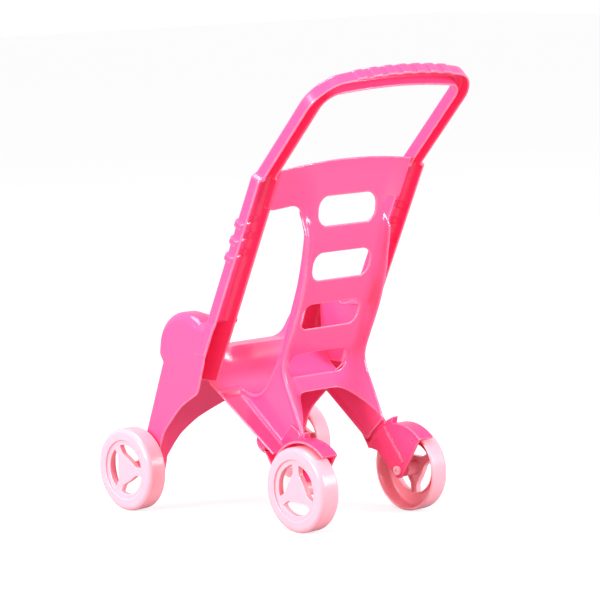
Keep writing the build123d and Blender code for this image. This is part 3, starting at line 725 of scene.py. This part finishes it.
# ---------------------------------------------------------------- materials
def plastic(name, colour, rough, depth):
    """A glossy moulded plastic with flow marks, fine orange peel, rubbed patches and a painted highlight
    that makes convex rims paler.
    """
    made = bpy.data.materials.new(name)
    made.use_nodes = True
    nodes, links = made.node_tree.nodes, made.node_tree.links
    shader = nodes["Principled BSDF"]
    shader.inputs["IOR"].default_value = 1.5
    shader.inputs["Subsurface Weight"].default_value = depth
    shader.inputs["Subsurface Radius"].default_value = (1.0, 0.25, 0.4)
    shader.inputs["Subsurface Scale"].default_value = 0.003
    place = nodes.new("ShaderNodeTexCoord")

    flow = nodes.new("ShaderNodeTexNoise")
    flow.inputs["Scale"].default_value = 11.0
    flow.inputs["Detail"].default_value = 2.0
    links.new(place.outputs["Object"], flow.inputs["Vector"])
    tint = nodes.new("ShaderNodeMix")
    tint.data_type = "RGBA"
    tint.inputs["A"].default_value = (*colour, 1)
    tint.inputs["B"].default_value = (*[c * k for c, k in zip(colour, (0.99, 0.93, 0.96))], 1)
    links.new(flow.outputs["Fac"], tint.inputs["Factor"])

    # painted highlight: convex rims, found by their pointiness, are painted paler in place of the light that
    # thin rounded rims catch and let through
    shape = nodes.new("ShaderNodeNewGeometry")
    edge = nodes.new("ShaderNodeMapRange")
    edge.inputs["From Min"].default_value = 0.51
    edge.inputs["From Max"].default_value = 0.56
    edge.inputs["To Max"].default_value = 0.6
    links.new(shape.outputs["Pointiness"], edge.inputs["Value"])
    painted_rim_highlight = nodes.new("ShaderNodeMix")
    painted_rim_highlight.data_type = "RGBA"
    painted_rim_highlight.inputs["B"].default_value = (*[1 - 0.8 * (1 - c) for c in colour], 1)
    links.new(edge.outputs["Result"], painted_rim_highlight.inputs["Factor"])
    links.new(tint.outputs["Result"], painted_rim_highlight.inputs["A"])
    links.new(painted_rim_highlight.outputs["Result"], shader.inputs["Base Color"])

    rub = nodes.new("ShaderNodeTexNoise")
    rub.inputs["Scale"].default_value = 60.0
    rub.inputs["Detail"].default_value = 4.0
    links.new(place.outputs["Object"], rub.inputs["Vector"])
    level = nodes.new("ShaderNodeMapRange")
    level.inputs["To Min"].default_value = rough - 0.04
    level.inputs["To Max"].default_value = rough + 0.05
    links.new(rub.outputs["Fac"], level.inputs["Value"])
    links.new(level.outputs["Result"], shader.inputs["Roughness"])

    peel = nodes.new("ShaderNodeTexNoise")
    peel.inputs["Scale"].default_value = 420.0
    peel.inputs["Detail"].default_value = 2.0
    links.new(place.outputs["Object"], peel.inputs["Vector"])
    bump = nodes.new("ShaderNodeBump")
    bump.inputs["Strength"].default_value = 0.05
    bump.inputs["Distance"].default_value = 0.0003
    links.new(peel.outputs["Fac"], bump.inputs["Height"])
    links.new(bump.outputs["Normal"], shader.inputs["Normal"])
    return made


def paint(thing, material):
    """Gives an object one material."""
    thing.data.materials.clear()
    thing.data.materials.append(material)


looks = {
    "frame_pink": plastic("pink plastic", (1.0, 0.070, 0.225), 0.20, 0.08),
    "bracket_pink": plastic("deeper pink plastic", (0.98, 0.044, 0.18), 0.22, 0.08),
    "wheel_pale": plastic("pale pink plastic", (1.0, 0.36, 0.43), 0.24, 0.15),
    "pin_pale": plastic("pale pin plastic", (1.0, 0.40, 0.48), 0.24, 0.15),
}


# ---------------------------------------------------------------- the object
def place_piece(piece, body, node, slot):
    """Finishes one visual piece: its body, the CAD node it stands for, and its slot."""
    paint(piece, looks[slot])
    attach(piece, body)
    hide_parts(node)


def front_frame():
    """The front moulding."""
    low = (0, front_box[0].y - shift - margin, front_box[0].z - lift - margin)
    high = (leg_out + 2 * margin, front_box[1].y - shift + margin, front_box[1].z - lift + margin)
    spots, normals, quads = surface(front_field, low, high, moulding_step, mirrored=True)
    made = mesh_object("front_moulding", spots + [0, shift, lift], normals, quads)
    place_piece(made, "frame", "front_frame", "frame_pink")


def rear_shell():
    """The rear moulding."""
    low = (0, shell_box[0].y - shift - margin, shell_box[0].z - lift - margin)
    high = (leg_out, shell_box[1].y - shift + margin, shell_box[1].z - lift + margin)
    spots, normals, quads = surface(shell_field, low, high, moulding_step, mirrored=True)
    made = mesh_object("rear_moulding", spots + [0, shift, lift], normals, quads)
    place_piece(made, "frame", "rear_shell", "frame_pink")


def brackets():
    """Both rear brackets: the right one mirrors the left."""
    low, high = (corner / MM - Vector((0, shift, lift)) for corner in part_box("rear_bracket_left"))
    spots, normals, quads = surface(bracket_field, [v - 2 for v in low], [v + 2 for v in high], bracket_step)
    for side, sign in (("left", 1), ("right", -1)):
        flip = np.array([sign, 1, 1])
        made = mesh_object("bracket_" + side, spots * flip + [0, shift, lift], normals * flip,
                           quads if sign > 0 else quads[:, ::-1])
        place_piece(made, "frame", "rear_bracket_" + side, "bracket_pink")


def wheels():
    """The four wheels, each turned as it stands."""
    low = (-2, -wheel_radius - 2, -wheel_radius - 2)
    high = (wheel_width + 2, wheel_radius + 2, wheel_radius + 2)
    base, base_normals, quads = surface(wheel_field, low, high, wheel_step)
    turns = {"front_wheel_left": -90, "front_wheel_right": 40, "rear_wheel_left": 0, "rear_wheel_right": 180}
    for node, turn in turns.items():
        c, s = math.cos(math.radians(turn)), math.sin(math.radians(turn))
        sign = 1 if node.endswith("left") else -1
        about = np.array([[sign, 0, 0], [0, c, s], [0, -s, c]])
        low_corner, high_corner = (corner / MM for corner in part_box(node))
        axle = anchors[node + "_body"]
        inner = low_corner.x if sign > 0 else high_corner.x
        made = mesh_object(node.replace("wheel", "rim"), base @ about + [inner, axle.y, axle.z],
                           base_normals @ about, quads if sign > 0 else quads[:, ::-1])
        place_piece(made, node + "_body", node, "wheel_pale")


front_frame()
rear_shell()
brackets()
wheels()
kinds = (("axle", "pin_pale"), ("wheel", "wheel_pale"), ("bracket", "bracket_pink"), ("", "frame_pink"))
for node, thing in frame["nodes"].items():
    slot = next(slot for word, slot in kinds if word in node)
    paint(thing, looks[slot])


# ---------------------------------------------------------------- floor, light and camera
def floor_plane():
    """A large pale floor that glows for the camera, so the shadows on it stay light."""
    material = bpy.data.materials.new("floor_white")
    material.use_nodes = True
    nodes, links = material.node_tree.nodes, material.node_tree.links
    shader = nodes["Principled BSDF"]
    shader.inputs["Base Color"].default_value = (0.3, 0.3, 0.3, 1)
    shader.inputs["Roughness"].default_value = 0.8
    shader.inputs["Emission Color"].default_value = (1, 1, 1, 1)
    path = nodes.new("ShaderNodeLightPath")
    glow = nodes.new("ShaderNodeMapRange")
    glow.inputs["To Min"].default_value = 0.1
    glow.inputs["To Max"].default_value = 0.70
    links.new(path.outputs["Is Camera Ray"], glow.inputs["Value"])
    links.new(glow.outputs["Result"], shader.inputs["Emission Strength"])
    mesh = bpy.data.meshes.new("floor")
    half = 12.0
    corners = [(-half, -half, 0), (half, -half, 0), (half, half, 0), (-half, half, 0)]
    mesh.from_pydata(corners, [], [(0, 1, 2, 3)])
    floor = bpy.data.objects.new("floor", mesh)
    bpy.context.scene.collection.objects.link(floor)
    paint(floor, material)


def soft_light(name, spot, aim, size, power):
    """A square soft box that faces a point."""
    lamp = bpy.data.lights.new(name, "AREA")
    lamp.size = size
    lamp.energy = power
    made = bpy.data.objects.new(name, lamp)
    made.location = spot
    made.rotation_euler = (Vector(aim) - Vector(spot)).to_track_quat("-Z", "Y").to_euler()
    bpy.context.scene.collection.objects.link(made)


def studio():
    """Soft white surroundings, and lights on the stroller's left, above it and behind it on its right."""
    world = bpy.data.worlds.new("studio")
    bpy.context.scene.world = world
    world.use_nodes = True
    nodes, links = world.node_tree.nodes, world.node_tree.links
    background = nodes["Background"]
    background.inputs["Color"].default_value = (1, 1, 1, 1)
    path = nodes.new("ShaderNodeLightPath")
    strength = nodes.new("ShaderNodeMapRange")
    strength.inputs["To Min"].default_value = 0.74
    strength.inputs["To Max"].default_value = 1.0
    links.new(path.outputs["Is Camera Ray"], strength.inputs["Value"])
    links.new(strength.outputs["Result"], background.inputs["Strength"])
    soft_light("key", (2.3, -0.2, 0.9), (0, 0, 0.25), 0.9, 76)
    soft_light("top", (0.3, -0.3, 2.2), (0, 0, 0.2), 1.1, 46)
    soft_light("rear", (-1.2, 2.2, 1.0), (0, 0, 0.25), 0.8, 70)
    bpy.context.scene.view_settings.view_transform = "Standard"


def camera():
    """The viewpoint: behind the stroller on its left, a little above it, tipped slightly."""
    azimuth, elevation, roll = (math.radians(v) for v in (138.34, 7.36, -1.5))
    aim = Vector((0, 0.00773, 0.24151))
    distance = 3.361
    back = Vector((math.sin(azimuth) * math.cos(elevation), -math.cos(azimuth) * math.cos(elevation),
                   math.sin(elevation)))
    right = (-back).cross(Vector((0, 0, 1))).normalized()
    up = right.cross(-back)
    side = right * math.cos(roll) + up * math.sin(roll)
    head = up * math.cos(roll) - right * math.sin(roll)
    lens = bpy.data.cameras.new("camera")
    lens.lens = 178.2
    lens.clip_end = 50
    made = bpy.data.objects.new("camera", lens)
    made.matrix_world = Matrix((side, head, back)).transposed().to_4x4()
    made.location = aim + back * distance
    bpy.context.scene.collection.objects.link(made)
    bpy.context.scene.camera = made


floor_plane()
studio()
camera()
